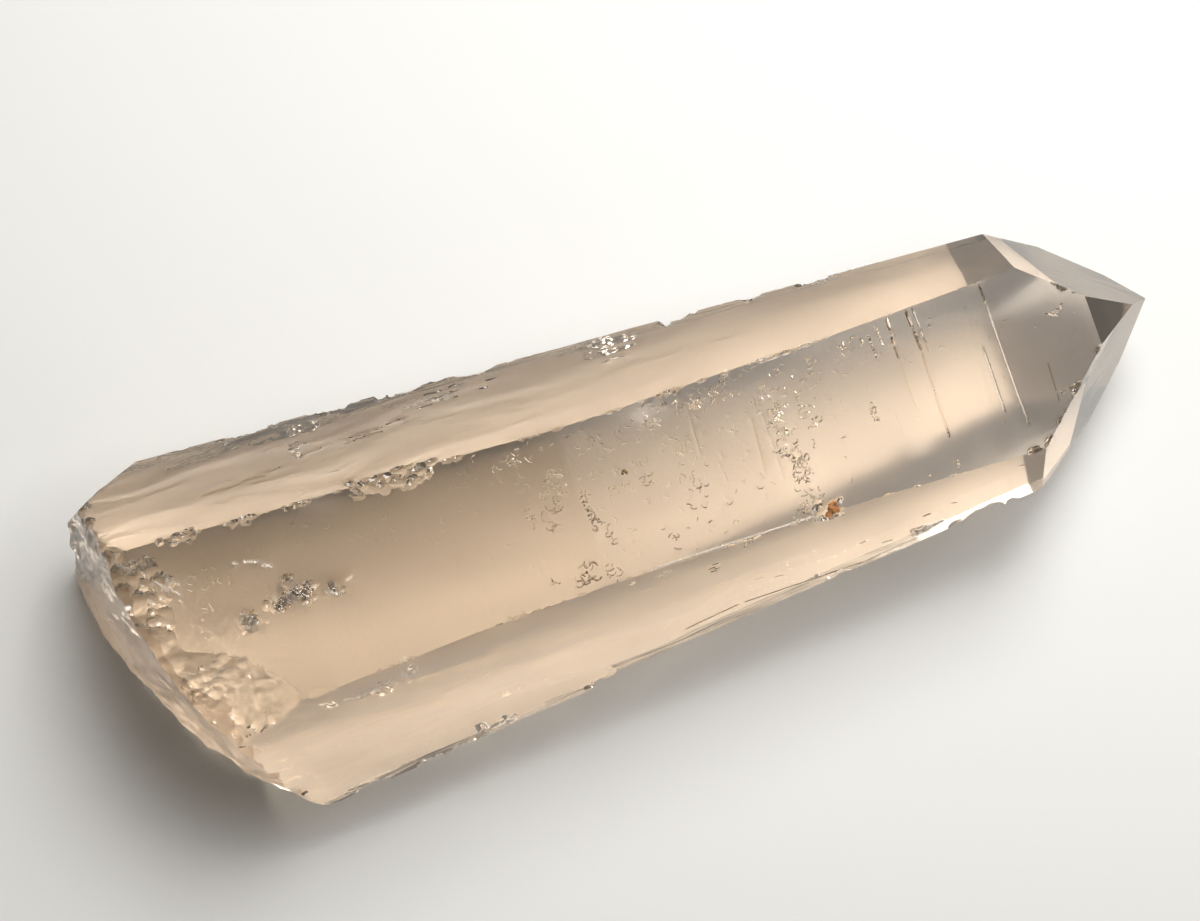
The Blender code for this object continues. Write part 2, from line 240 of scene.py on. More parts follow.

# Etch marks, small bent grooves in clusters: face, station, across, half extent along and across,
# number, shortest and longest mark, half width, depth.
ETCH_MARKS = [
    ("top_base", -59.3, 2.0, 0.8, 1.3, 22, 0.5, 1.3, 0.10, 0.12),
    ("top_base", -61.9, 1.2, 0.4, 0.9, 7, 0.6, 1.1, 0.09, 0.11),
    ("top_base", -60.3, -0.3, 0.5, 0.9, 6, 0.7, 1.4, 0.08, 0.09),
    ("top_base", -57.9, 3.2, 0.9, 0.9, 10, 0.4, 0.9, 0.07, 0.07),
    ("top_mid", -56.9, -0.4, 0.5, 1.4, 20, 0.4, 1.0, 0.11, 0.14),
    ("top_mid", -56.0, -2.6, 0.5, 1.3, 8, 0.4, 0.9, 0.08, 0.10),
    ("top_mid", -53.4, 0.5, 1.0, 0.5, 9, 0.3, 0.7, 0.08, 0.09),
    ("top_mid", -51.2, 0.3, 0.5, 1.4, 8, 0.4, 0.9, 0.08, 0.09),
    ("top_base", -58.9, -5.6, 0.8, 0.9, 20, 0.4, 1.1, 0.10, 0.13),
    ("top_mid", -56.8, -6.2, 0.6, 0.9, 9, 0.4, 0.9, 0.09, 0.10),
    ("top_base", -61.9, -5.3, 0.4, 0.4, 4, 0.3, 0.7, 0.08, 0.10),
    ("top_mid", -50.5, -5.5, 0.4, 0.7, 5, 0.4, 0.9, 0.08, 0.09),
    ("top_mid", -47.3, 1.8, 1.0, 1.0, 7, 0.5, 1.0, 0.07, 0.06),
    ("top_mid", -47.5, -2.0, 2.0, 2.2, 16, 0.4, 0.9, 0.08, 0.08),
    ("top_mid", -48.6, 5.2, 0.7, 0.5, 9, 0.5, 1.0, 0.09, 0.12),
    ("top_mid", -43.8, 5.4, 2.6, 0.8, 34, 0.4, 0.9, 0.09, 0.10),
    ("top_mid", -38.2, 1.0, 0.8, 3.4, 60, 0.3, 1.0, 0.09, 0.11),
    ("top_mid", -37.6, -3.6, 0.8, 2.6, 44, 0.3, 0.9, 0.09, 0.11),
    ("top_mid", -35.6, 0.6, 0.7, 2.2, 18, 0.3, 0.8, 0.08, 0.10),
    ("top_mid", -38.6, -7.0, 0.8, 0.6, 22, 0.3, 0.7, 0.09, 0.11),
    ("top_base", -61.5, 6.3, 2.6, 0.9, 22, 0.3, 0.8, 0.08, 0.09),
    ("top_tip", -29.9, -0.9, 0.4, 0.9, 12, 0.3, 0.7, 0.08, 0.09),
    ("top_tip", -10.6, 1.8, 0.9, 0.3, 7, 0.3, 0.8, 0.10, 0.10),
    ("top_tip", -30.6, 5.4, 1.4, 1.0, 12, 0.3, 0.8, 0.08, 0.08),
    ("top_base", -90.0, 5.0, 1.6, 1.2, 7, 0.3, 0.8, 0.07, 0.05),
    ("right", -55.3, 5.1, 0.5, 0.4, 9, 0.3, 0.8, 0.10, 0.14),
    ("right", -52.4, 4.6, 0.6, 0.4, 10, 0.3, 0.9, 0.10, 0.14),
    ("right", -47.7, 2.0, 0.5, 0.7, 8, 0.3, 0.9, 0.10, 0.12),
    ("right", -44.6, 4.9, 0.4, 0.4, 7, 0.3, 0.8, 0.10, 0.13),
    ("right", -72.0, 1.0, 5.0, 1.2, 10, 0.8, 2.6, 0.10, 0.09),
    ("left", -65.0, 6.4, 4.0, 1.2, 16, 0.4, 1.6, 0.11, 0.09),
    ("left", -72.5, 3.6, 4.0, 0.6, 12, 0.8, 3.0, 0.17, 0.07),
    ("left", -84.0, 2.0, 4.0, 1.8, 8, 0.5, 2.0, 0.12, 0.05),
    ("left", -79.3, 5.0, 0.5, 1.4, 10, 0.4, 1.0, 0.11, 0.12),
]

# Faint marks strewn evenly: face, from and to along X, from and to across, number, shortest and longest,
# half width, depth.
STREWN_MARKS = [
    ("top_base", -94.0, -58.0, 2.0, 7.2, 60, 0.3, 0.8, 0.07, 0.04),
    ("top_base", -72.0, -58.0, -6.5, 2.0, 26, 0.3, 0.8, 0.07, 0.04),
    ("top_mid", -57.0, -33.2, 1.5, 6.8, 130, 0.3, 0.8, 0.07, 0.05),
    ("top_mid", -57.0, -33.2, -7.4, 1.5, 70, 0.3, 0.8, 0.07, 0.045),
    ("top_tip", -32.6, -20.0, 2.0, 6.3, 36, 0.3, 0.7, 0.07, 0.04),
    ("top_tip", -32.6, -17.0, -8.0, 2.0, 26, 0.3, 0.6, 0.06, 0.03),
    ("top_tip", -18.0, -9.0, -2.5, 3.0, 22, 0.2, 0.5, 0.07, 0.04),
    ("right", -88.0, -18.0, -6.0, 3.0, 26, 0.4, 1.6, 0.10, 0.04),
    ("left", -92.0, -32.0, -4.0, 7.0, 34, 0.4, 2.6, 0.12, 0.035),
]
ETCH_SEED = 5
PATCH_SPREAD = 0.6  # how widely the members of a patch lie about its middle, as a share of its half extents
MARK_BENDS = (0.1, 0.55)
MARK_SHARES = (0.6, 1.2)  # least and greatest width and depth of a mark, as a share of the table's
# On these faces the marks lie along the crystal, give or take this many degrees; on the others anyhow.
MARK_SLANT = {"left": 9.0, "right": 12.0}
SLANTED_BEND = 0.15  # how much of its bend such a mark keeps

# Waves of the faces: height, length along and across the crystal, seed.
TOP_WAVES = ((0.030, 7.0, 5.0, 2.0), (0.005, 0.9, 4.0, 5.0))
STRIATIONS = ((0.035, 2.6, 9.0, 11.0), (0.012, 0.9, 7.0, 5.0))
STREAKS = ((0.22, 15.0, 2.2, 7.0), (0.05, 5.0, 0.8, 3.0))
STREAK_BENDS = ((0.8, 9.0, 3.0, 0.0),)
STREAKS_FADE = (-78.0, -30.0)  # strongest up to the first station, weakest from the second
STREAKS_LEAST = 0.2
POINT_WAVE = 0.004  # on the faces of the point
POINT_WAVE_LENGTH = 3.0
TOP_SUNK = 0.03  # how far the waves lie in, which keeps them inside the CAD part
SIDE_SUNK = 0.05
SEED_STEP = 10.0  # degrees of azimuth that put a face's waves one seed on
NEARLY_LEVEL = 0.05  # faces that are closer in direction than this move a shared point as one
# How strongly each prism face shows the streaks along it and the striations across it.
RELIEF_WEIGHTS = {
    "left": (1.1, 0.15),
    "right": (0.8, 0.4),
    "under_left": (1.0, 1.0),
    "under_right": (0.8, 1.6),
    "ledge": (0.8, 1.8),
    "rest": (0.8, 0.5),
}

# How satin each face is, from 0 to 1; the others are glossy.
SATIN = {"top_base": 1.0, "top_mid": 1.0, "top_tip": 1.0, "ledge": 0.5, "under_right": 0.5, "break": 0.6}
GLOSSY_DEPTHS = (0.045, 0.09)  # marks this deep begin to have glossy walls, and have them fully
DIRT_DEPTHS = (0.10, 0.15)  # marks this deep begin to hold dirt, and are full of it
BREAK_DIRT = 0.6  # share of that dirt on the break

# Small chips that the CAD part leaves out, told as its chips are.
FINE_CHIPS = [
    ("top_base", "left", -66.2, 0.7, 0.30, 1.0),
    ("top_base", "left", -60.3, 0.5, 0.16, 1.2),
    ("top_base", "left", -91.0, 1.2, 0.35, 1.6),
    ("right", "ledge", -21.8, 2.4, 0.90, 1.1),
    ("right", "ledge", -35.6, 1.2, 0.30, 1.2),
    ("right", "under_right", -77.5, 1.4, 0.35, 1.5),
    ("left", "under_left", -29.4, 1.2, 0.35, 1.5),
    ("left", "under_left", -74.6, 1.6, 0.35, 1.5),
    ("top_base", "right", -84.6, 0.9, 0.35, 1.2),
    ("top_tip", "right", -17.0, 0.8, 0.28, 1.4),
]
CRUMBLED = 1.0  # chips of at least this radius break up inside into small bites
BITES_IN_CHIP = 16
# Those bites, in shares of the chip's half width: how widely they lie along and across, and their radii.
BITE_SPREAD = (0.55, 0.4)
BITE_SIZES = (0.22, 0.5)
BITE_SUNK = 0.8  # share of the chip's own bite at which they lie
BITE_TILT = 0.5
BITE_DEPTHS = (0.3, 0.6)  # least and greatest share of the radius that is bitten off

# Flakes gone from the rim of the break: the flat face, how far in from the rim, number,
# smallest and largest radius.
RIM_FLAKES = [
    ("top_base", 0.7, 28, 1.4, 3.6),
    ("top_base", 1.9, 30, 0.5, 1.3),
    ("left", 0.2, 12, 0.9, 2.4),
    ("right", 0.2, 12, 0.9, 2.4),
    ("rest", -0.1, 6, 0.8, 1.6),
    ("under_left", 0.0, 8, 0.9, 2.0),
    ("under_right", 0.0, 5, 0.9, 2.0),
]
RIM_REACH = {"top_base": 8.6, "left": 7.6, "right": 13.5, "rest": 13.0, "under_left": 8.0, "under_right": 2.5}
RIM_RAGGED = 0.35
RIM_LEANS = (0.3, 1.3)
RIM_DEPTHS = (0.16, 0.34)

# The rough part of the big scar: its middle along and across the crystal, half extents, how far it has sunk,
# number of bites, smallest and largest radius, share of the radius that is bitten off.
ROUGH_SCAR = (-92.4, -5.8, 3.4, 3.2, 0.15, 110, 0.30, 1.20, 0.45)
SCAR_SPREAD = 0.5

# Small bites in patches: the face, station and across of the patch's middle, half extents along and across,
# how far the patch has sunk, number, smallest and largest radius, share of the radius that is bitten off.
PITTED = [
    ("top_base", -82.9, 1.3, 0.9, 0.6, 0.00, 12, 0.20, 0.60, 0.50),
    ("top_base", -84.9, 0.8, 0.8, 0.5, 0.00, 10, 0.20, 0.60, 0.50),
    ("top_base", -84.0, 2.6, 0.8, 0.7, 0.00, 5, 0.15, 0.40, 0.40),
    ("top_base", -80.2, 0.6, 0.9, 0.6, 0.00, 5, 0.20, 0.50, 0.35),
    ("top_base", -88.0, 0.4, 1.6, 0.6, 0.00, 10, 0.25, 0.70, 0.30),
    ("top_base", -95.0, 4.0, 0.8, 4.0, 0.15, 22, 0.40, 1.30, 0.35),
]
PIT_TILT = 0.3

# Small nicks along the edges: the two faces, from station to station, how many, smallest and largest radius,
# share of the radius that is bitten off.
NICKS = [
    ("top_mid", "left", -39.5, -31.5, 16, 0.28, 0.55, 0.40),
    ("top_mid", "left", -57.0, -30.0, 26, 0.25, 0.55, 0.36),
    ("top_base", "left", -94.0, -58.0, 22, 0.25, 0.60, 0.36),
    ("top_tip", "left", -32.0, -14.0, 8, 0.20, 0.35, 0.36),
    ("top_base", "right", -86.0, -58.0, 14, 0.25, 0.50, 0.36),
    ("top_mid", "right", -57.0, -34.0, 14, 0.25, 0.45, 0.36),
    ("top_tip", "right", -33.0, -17.0, 10, 0.20, 0.40, 0.36),
    ("left", "under_left", -92.0, -16.0, 26, 0.40, 1.00, 0.16),
    ("right", "under_right", -90.0, -60.0, 12, 0.40, 0.90, 0.20),
    ("right", "ledge", -57.0, -17.0, 16, 0.30, 0.70, 0.20),
    ("top_tip", "right_r", -16.0, -7.8, 9, 0.20, 0.45, 0.36),
    ("top_tip", "left_r", -12.0, -8.0, 3, 0.20, 0.30, 0.36),
]
NICK_TILT = 0.2
NICK_STRETCH = 1.3
NICK_SEED = 8
CRUMB_SEED = 21

# The floor of a bite crumbles into bowls. Their size is a share of its radius, within limits.
CRUMBLE_SHARE = 0.45
CRUMBLE_SIZES = (0.35, 2.0)
CRUMBLE_DEPTH = 0.9
CRUMBLE_FINER = 0.4  # size and depth of the finer bowls, as a share of the others'
CRUMBLE_LIMIT = 0.2  # greatest depth, as a share of the bowls' size, that crumbling grows with
WORN_DEPTH = 0.05  # a bite this deep leaves nothing of the satin

# ---------------- flaws inside
# Cracks: the face that they lie under, station and across of the middle, half extents along and across,
# number of flakes, smallest and largest flake, least and greatest depth of a flake's highest point.
CRACKS = [
    ("top_base", -82.8, 1.4, 0.6, 0.5, 16, 0.20, 0.60, 0.20, 0.8),
    ("top_base", -84.9, 0.8, 0.6, 0.5, 14, 0.20, 0.60, 0.20, 0.8),
    ("top_base", -84.0, 2.4, 0.6, 0.9, 9, 0.20, 0.50, 0.20, 0.8),
    ("top_base", -83.4, 1.2, 2.0, 1.0, 26, 0.30, 0.80, 0.50, 2.2),
    ("top_base", -80.4, 0.6, 1.0, 0.9, 12, 0.40, 0.90, 0.40, 1.5),
    ("top_base", -88.0, 0.6, 1.5, 0.8, 22, 0.25, 0.70, 0.20, 1.2),
    ("top_base", -91.3, 1.6, 1.4, 0.8, 10, 0.25, 0.60, 0.30, 1.2),
    ("top_base", -87.5, 5.6, 0.7, 0.12, 10, 0.15, 0.35, 0.15, 0.5),
    ("top_base", -85.6, 4.8, 0.7, 0.12, 10, 0.15, 0.35, 0.15, 0.5),
    ("top_base", -92.9, 5.4, 0.6, 0.9, 6, 0.25, 0.60, 0.40, 1.2),
    ("left", -79.4, 4.8, 0.3, 1.2, 10, 0.20, 0.50, 0.20, 0.8),
    ("left", -66.5, 6.3, 3.0, 0.5, 10, 0.20, 0.50, 0.20, 0.6),
    ("left", -27.5, 5.6, 3.0, 0.6, 10, 0.20, 0.70, 0.20, 0.8),
    ("right", -80.0, 1.5, 5.0, 1.0, 12, 0.30, 0.90, 0.30, 1.2),
]
CRACK_WIDTH = 0.035
CRACK_RINGS = 5
CRACK_SPOKES = 16
CRACK_SEED = 14
CRACK_TINT = (0.95, 0.92, 0.88, 1.0)
CRACK_STRETCH = (1.0, 1.7)
CRACK_RAGGED = 0.55
CRACK_CORNERS = 1.3  # how often the rim goes out and in
CRACK_VARIETY = 9.0  # how fast the rim's shape changes along the crystal
CRACK_WAVES = (0.30, 1.4)  # height and number of the waves, both for a flake of size 1
CRACK_RIPPLES = (0.06, 5.0)
CRACK_SHIFT = 3.1
CRACK_ROUGHNESS = 0.02
LEVEL_SHARE = 0.6  # of the flakes lie nearly level with the face, and the rest are steep
LEVEL_TILTS = (2.0, 20.0)
STEEP_TILTS = (25.0, 75.0)
CRACK_SHARP = 40.0

# Iron crust and specks: colour, and of each blob the face, station, across, height over it, half sizes.
CRUMBS = {
    "rust": ((0.30, 0.125, 0.04), (
        ("top_mid", -36.25, -7.75, -0.28, (0.52, 0.44, 0.28)),
        ("top_mid", -36.05, -7.35, -0.16, (0.30, 0.22, 0.16)),
        ("top_mid", -36.75, -8.15, -0.42, (0.35, 0.30, 0.20)),
        ("top_mid", -35.85, -7.95, -0.20, (0.20, 0.30, 0.14)),
    )),
    "gold": ((0.16, 0.10, 0.035), (
        ("top_mid", -52.80, 1.75, -0.02, (0.17, 0.15, 0.09)),
        ("top_mid", -52.62, 1.55, -0.02, (0.13, 0.16, 0.08)),
        ("top_mid", -52.98, 1.55, -0.02, (0.12, 0.12, 0.07)),
        ("top_mid", -56.95, -0.45, -0.04, (0.12, 0.16, 0.07)),
        ("top_mid", -57.1, 0.1, -0.04, (0.09, 0.12, 0.06)),
        ("top_mid", -56.3, -1.5, -0.04, (0.07, 0.12, 0.06)),
        ("top_base", -59.1, 1.2, -0.04, (0.12, 0.07, 0.06)),
        ("top_base", -58.9, -5.5, -0.04, (0.10, 0.12, 0.06)),
        ("top_base", -58.6, -6.2, -0.04, (0.08, 0.10, 0.06)),
        ("top_base", -62.0, -5.2, -0.04, (0.08, 0.09, 0.06)),
        ("top_mid", -38.9, -7.2, -0.04, (0.10, 0.08, 0.06)),
        ("top_mid", -39.3, -6.8, -0.04, (0.08, 0.10, 0.06)),
    )),
}
LUMPS = ((0.45, 1.7, 3.0), (0.25, 4.5, 1.0))  # height, number and shift of the lumps of a blob
CRUMB_SHARP = 60.0
CRUMB_ROUGHNESS = 0.65
MOTTLE_SCALE = 3500.0  # per metre
MOTTLES = ((0.35, 0.55), (0.65, 1.9))  # where on the ramp, and how many times the colour

# ---------------- the looks
CRYSTAL_SHARP = 24.0
QUARTZ_IOR = 1.544
QUARTZ_TINT = (0.97, 0.86, 0.745, 1.0)
DIRT_TINT = (0.20, 0.11, 0.05, 1.0)
SMOKE_COLOUR = (0.71, 0.67, 0.61, 1.0)
SMOKE_DENSITY = 20.0
SIDE_ROUGHNESS = 0.04
SATIN_ROUGHNESS = 0.28
GRAIN_SCALE = 2600.0  # per metre
GRAIN_HEIGHT = 0.000012
GRAIN_DETAIL = 3.0
SCRATCH_GLINT_FADE = 8.0  # a scratch's whitening and painted glint fade over the last eighth of its length at each end

# ---------------- stage
FLOOR_COLOUR = (0.90, 0.895, 0.87, 1.0)
# Each soft light: place in metres, side in metres, power in watts. Both face the crystal's middle.
LIGHTS = {
    "window": ((0.11, 0.19, 0.31), 0.15, 0.99),
    "lamp": ((0.12, 0.04, 0.22), 0.15, 0.26),
}
LIT_SPOT = Vector((0.02, 0.0, 0.01))
SKY_COLOUR = (1.0, 0.93, 0.84, 1.0)
SKY_STRENGTH = 0.14

# The camera, in the crystal's frame (mm): it looks almost straight down on the lying crystal.
CAMERA_AT = Vector((-72.96, 7.434, 239.001))
CAMERA_RIGHT = Vector((0.937, -0.339, 0.083))
CAMERA_BACK = Vector((-0.081, 0.018, 0.997))
CAMERA_LENS = 78.0
CAMERA_SENSOR = 36.0
FLOOR_SIDE = 4.0
FLOOR_ROUGHNESS = 0.8
FLOOR_SPECULAR = 0.2
FLOOR_DROP = 0.00005  # just under the crystal, so that the two don't share a plane
BOUNCES = 14  # light is thrown about many times inside a clear crystal


def direction(azimuth, lean):
    """A unit vector at this azimuth about the long axis, leaning this much towards the point."""
    side, tip = radians(azimuth), radians(lean)
    return Vector((sin(tip), cos(tip) * sin(side), cos(tip) * cos(side)))


class Face:
    """A flat face: its plane, and a level frame in it (e1 along the crystal, e2 across)."""

    def __init__(self, normal, distance, azimuth=0.0):
        self.normal = normal
        self.distance = distance
        self.azimuth = azimuth
        self.e2 = normal.cross(ALONG).normalized()
        self.e1 = self.e2.cross(normal).normalized()

    def place(self, station, across):
        """The point of the plane at this station, this far to the side of the middle of the crystal."""
        out = direction(self.azimuth, 0.0)
        reach = (self.distance - self.normal.x * station) / self.normal.dot(out)
        return Vector((station, 0.0, 0.0)) + out * reach + self.e2 * across

    def flat(self, point):
        return Vector((self.e1.dot(point), self.e2.dot(point)))

    def lift(self, flat_points):
        """Points of the plane, from their two coordinates in it, as an array."""
        flat_points = np.asarray(flat_points, float).reshape(-1, 2)
        origin = np.array(self.normal) * self.distance
        return origin + flat_points[:, :1] * np.array(self.e1) + flat_points[:, 1:] * np.array(self.e2)

    def holds(self, point, normal):
        off = abs(self.normal.dot(point) - self.distance)
        return normal.dot(self.normal) > SAME_TURN and off < SAME_PLANE


FACE = {
    name: Face(direction(azimuth, lean), distance, azimuth)
    for name, (azimuth, lean, distance) in (FACES | {"ledge": LEDGE_PLANE}).items()
}


def smooth_step(low, high, value):
    share = min(1.0, max(0.0, (value - low) / (high - low)))
    return share * share * (3.0 - 2.0 * share)


def bowls(place, size):
    """How deep a point lies in the bowls that a fracture is made of, as a share of their depth."""
    return BOWL_MEAN - noise.voronoi(place / size)[0][0] ** 2


def break_station(y, z):
    """Where the fracture at the base lies along X, at this place of the cross-section."""
    station = BREAK_AT + BREAK_LEAN_Y * y + BREAK_LEAN_Z * z + BREAK_DOME_Y * y * y + BREAK_DOME_Z * z * z
    for size, depth in BOWLS + FINE_BOWLS:
        station += depth * bowls(Vector((y, z, 0.0)), size)
    rounded = ROUND_AT + ROUND_CURVE * max(0.0, y - ROUND_FROM_Y) ** 2 + ROUND_LEAN_Z * z
    rounded += ROUND_WAVE * noise.noise(Vector((y, z, ROUND_SEED)) / ROUND_WAVE_LENGTH)
    return max(station, rounded)


# ---------------- mesh spacing
FINE_SPOTS = []  # centre, radius and spacing of each place that needs a finer mesh
EDGE_LINES = {}  # points laid along the edges so far, by the two ends


def fine_spot(centre, radius, spacing):
    FINE_SPOTS.append((tuple(centre), radius, spacing))


def spacing_at(points):
    """The mesh spacing wanted at each of these points."""
    points = np.asarray(points, float).reshape(-1, 3)
    order = np.argsort(points[:, 0])
    points = points[order]
    found = np.full(len(points), PLAIN_SPACING)
    for centre, radius, spacing in FINE_SPOTS:
        reach = radius + (PLAIN_SPACING - spacing) / SPACING_GROWTH
        first, last = np.searchsorted(points[:, 0], (centre[0] - reach, centre[0] + reach))
        if first < last:
            away = np.linalg.norm(points[first:last] - centre, axis=1) - radius
            near = spacing + SPACING_GROWTH * np.maximum(away, 0.0)
            found[first:last] = np.minimum(found[first:last], near)
    wanted = np.empty_like(found)
    wanted[order] = found
    return wanted


def edge_points(start, end):
    """Points from start to end, both included, the same whichever way round they are asked for."""
    key = tuple(np.round(start, 3)), tuple(np.round(end, 3))
    if key in EDGE_LINES:
        return EDGE_LINES[key]
    if key[::-1] in EDGE_LINES:
        return EDGE_LINES[key[::-1]][::-1]
    length = (end - start).length
    count = max(2, ceil(length / EDGE_SAMPLE))
    line = np.array(start) + np.linspace(0.0, 1.0, count)[:, None] * np.array(end - start)
    steps = length / (count - 1) / np.minimum(spacing_at(line), EDGE_SPACING)
    passed = np.concatenate([[0.0], np.cumsum((steps[1:] + steps[:-1]) / 2)])
    marks = np.linspace(0.0, passed[-1], max(2, ceil(passed[-1]) + 1))
    shares = np.interp(marks, passed, np.linspace(0.0, 1.0, count))
    EDGE_LINES[key] = np.array(start) + shares[:, None] * np.array(end - start)
    return EDGE_LINES[key]


def inside_outline(outline, points):
    """Which of these flat points lie inside a closed outline."""
    found = np.zeros(len(points), bool)
    for (x0, y0), (x1, y1) in zip(outline, np.roll(outline, -1, axis=0)):
        if y0 != y1:
            crosses = (points[:, 1] > min(y0, y1)) & (points[:, 1] <= max(y0, y1))
            found ^= crosses & (points[:, 0] < x0 + (points[:, 1] - y0) * (x1 - x0) / (y1 - y0))
    return found


def tree_of(points):
    tree = kdtree.KDTree(len(points))
    for index, point in enumerate(points):
        tree.insert((point[0], point[1], 0.0), index)
    tree.balance()
    return tree


def filling(outline, kept, lift, draw):
    """Flat points that fill an outline at the wanted spacing, clear of the outline and of the kept points."""
    low, high = outline.min(axis=0), outline.max(axis=0)
    size = PLAIN_SPACING
    columns, rows = (np.arange(low[i], high[i] + size, size) for i in (0, 1))
    cells = np.stack(np.meshgrid(columns, rows), axis=-1).reshape(-1, 2)
    found = []
    while len(cells):
        split = spacing_at(lift(cells)) < SPLIT_BELOW * size
        jitter = draw.uniform(-JITTER, JITTER, (np.count_nonzero(~split), 2)) * size
        found.append(np.column_stack([cells[~split] + jitter, np.full(len(jitter), size)]))
        quarters = [(a * size / 4, b * size / 4) for a in (-1, 1) for b in (-1, 1)]
        cells = np.concatenate([cells[split] + quarter for quarter in quarters])
        size /= 2
    found = np.concatenate(found)
    found = found[inside_outline(outline, found[:, :2])]
    tree = tree_of(np.concatenate([outline, kept]))
    clear = [(x, y) for x, y, size in found if tree.find((x, y, 0.0))[2] > CLEARANCE * size]
    return np.array(clear).reshape(-1, 2)


# ---------------- grooves on the faces
def in_face(name, station, across):
    face = FACE[name]
    return face.flat(face.place(station, across))


def patch_spot(draw, station, across, reach_x, reach_y, spread=PATCH_SPREAD):
    """A random spot in a patch about this middle: its station and its place across."""
    x = station + draw.gauss(0, spread) * reach_x
    return x, across + draw.gauss(0, spread) * reach_y


def bent_line(start, end, bend, count):
    """Points from start to end on a gentle curve."""
    along = end - start
    side = Vector((-along.y, along.x))
    shares = [i / (count - 1) for i in range(count)]
    return [start + along * share + side * (bend * 4 * share * (1 - share)) for share in shares]


def groove_lines():
    """The middle line of every groove: face, points, half width and depth."""
    lines = []
    for name, x0, y0, x1, y1, width, depth in GROWTH_LINES + SCRATCHES_AND_GLINTS:
        start, end = in_face(name, x0, y0), in_face(name, x1, y1)
        count = max(3, ceil((end - start).length / GROWTH_LINE_STEP))
        lines.append((name, bent_line(start, end, 0.0, count), width, depth))
    draw = random.Random(ETCH_SEED)
    for name, station, across, reach_x, reach_y, number, *look in ETCH_MARKS:
        for _ in range(number):
            spot = patch_spot(draw, station, across, reach_x, reach_y)
            lines.append(etch_mark(name, in_face(name, *spot), *look, draw))
    for name, low_x, high_x, low_y, high_y, number, *look in STREWN_MARKS:
        for _ in range(number):
            x, y = draw.uniform(low_x, high_x), draw.uniform(low_y, high_y)
            lines.append(etch_mark(name, in_face(name, x, y), *look, draw))
    return lines


def etch_mark(name, middle, short, long, width, depth, draw):
    """One small bent groove about this middle."""
    length = draw.uniform(short, long)
    turn = draw.uniform(0.0, 2 * pi)
    bend = draw.choice((-1, 1)) * draw.uniform(*MARK_BENDS)
    if name in MARK_SLANT:
        turn = radians(draw.gauss(0.0, MARK_SLANT[name]))
        bend *= SLANTED_BEND
    half = Vector((cos(turn), sin(turn))) * length / 2
    count = max(4, ceil(length / MARK_SPACING) + 1)
    share = draw.uniform(*MARK_SHARES)
    return name, bent_line(middle - half, middle + half, bend, count), width * share, depth * share


def groove_rows(line, width, depth):
    """The points of one groove, as (flat x, flat y, depth): its ends, its floor, then its two rims."""
    rows = [(line[0].x, line[0].y, 0.0), (line[-1].x, line[-1].y, 0.0)]
    for shift, deep in ((0.0, depth), (-width, 0.0), (width, 0.0)):
        for before, point, after in zip(line, line[1:], line[2:]):
            along = after - before
            place = point + Vector((-along.y, along.x)).normalized() * shift
            rows.append((place.x, place.y, deep))
    return rows


class Sieve:
    """Lets a flat point through only where none that it let through before is near."""

    def __init__(self, gap):
        self.gap = gap
        self.cells = {}

    def passes(self, x, y):
        column, row = floor(x / self.gap), floor(y / self.gap)
        near = [(column + a, row + b) for a in (-1, 0, 1) for b in (-1, 0, 1)]
        others = [other for cell in near for other in self.cells.get(cell, ())]
        if any(hypot(other[0] - x, other[1] - y) < self.gap for other in others):
            return False
        self.cells.setdefault((column, row), []).append((x, y))
        return True


def groove_points(name, outline, lines):
    """Flat points along the grooves of a face, and how deep each lies."""
    rows = []
    for owner, line, width, depth in lines:
        if owner == name:
            rows.extend(groove_rows(line, width, depth))
    rows.sort(key=lambda row: -row[2])
    sieve = Sieve(MARK_GAP)
    rim = tree_of(outline)
    kept = [(x, y, deep) for x, y, deep in rows if rim.find((x, y, 0.0))[2] > RIM_GAP and sieve.passes(x, y)]
    points = np.array(kept).reshape(-1, 3)
    return points[inside_outline(outline, points[:, :2])]


# ---------------- relief on the faces
def waves(table, x, across, seed=0.0, bend=0.0):
    """The sum of these waves at a place of a face, in millimetres."""
    return sum(
        height * noise.noise(Vector((x / along, across / aside + bend, seed + shift)))
        for height, along, aside, shift in table
    )


def relief(name, point):
    """How far the fine relief of a face stands in (negative) or out at this point, in millimetres."""
    face = FACE[name]
    x, across = point[0], face.e2.dot(Vector(point))
    if name in ("top_base", "top_mid", "top_tip"):
        return waves(TOP_WAVES, x, across) - TOP_SUNK
    if name.endswith(("_r", "_z")):
        return POINT_WAVE * noise.noise(Vector([value / POINT_WAVE_LENGTH for value in point]))
    seed = face.azimuth / SEED_STEP
    streaks = waves(STREAKS, x, across, seed, waves(STREAK_BENDS, x, across, seed))
    towards_base = 1.0 - smooth_step(*STREAKS_FADE, x)
    streaks *= STREAKS_LEAST + (1.0 - STREAKS_LEAST) * towards_base
    of_streaks, of_striations = RELIEF_WEIGHTS[name]
    return of_streaks * streaks + of_striations * waves(STRIATIONS, x, across, seed) - SIDE_SUNK


# ---------------- the flat faces
def add_object(name, data):
    obj = bpy.data.objects.new(name, data)
    bpy.context.scene.collection.objects.link(obj)
    return obj


def solid_of(bm, name):
    """An object made of a bmesh, which is freed."""
    mesh = bpy.data.meshes.new(name)
    bm.to_mesh(mesh)
    bm.free()
    return add_object(name, mesh)


def ideal_crystal():
    """The crystal's flat faces alone, as long as the block that they are cut from, in millimetres."""
    bm = bmesh.new()
    bmesh.ops.create_cube(bm, size=BLOCK)
    for name in FACES:
        normal, point = FACE[name].normal, FACE[name].normal * FACE[name].distance
        everything = bm.verts[:] + bm.edges[:] + bm.faces[:]
        cut = bmesh.ops.bisect_plane(bm, geom=everything, plane_co=point, plane_no=normal, clear_outer=True)
        rim = [item for item in cut["geom_cut"] if isinstance(item, bmesh.types.BMEdge)]
        bmesh.ops.contextual_create(bm, geom=rim)
    return solid_of(bm, "ideal_crystal")


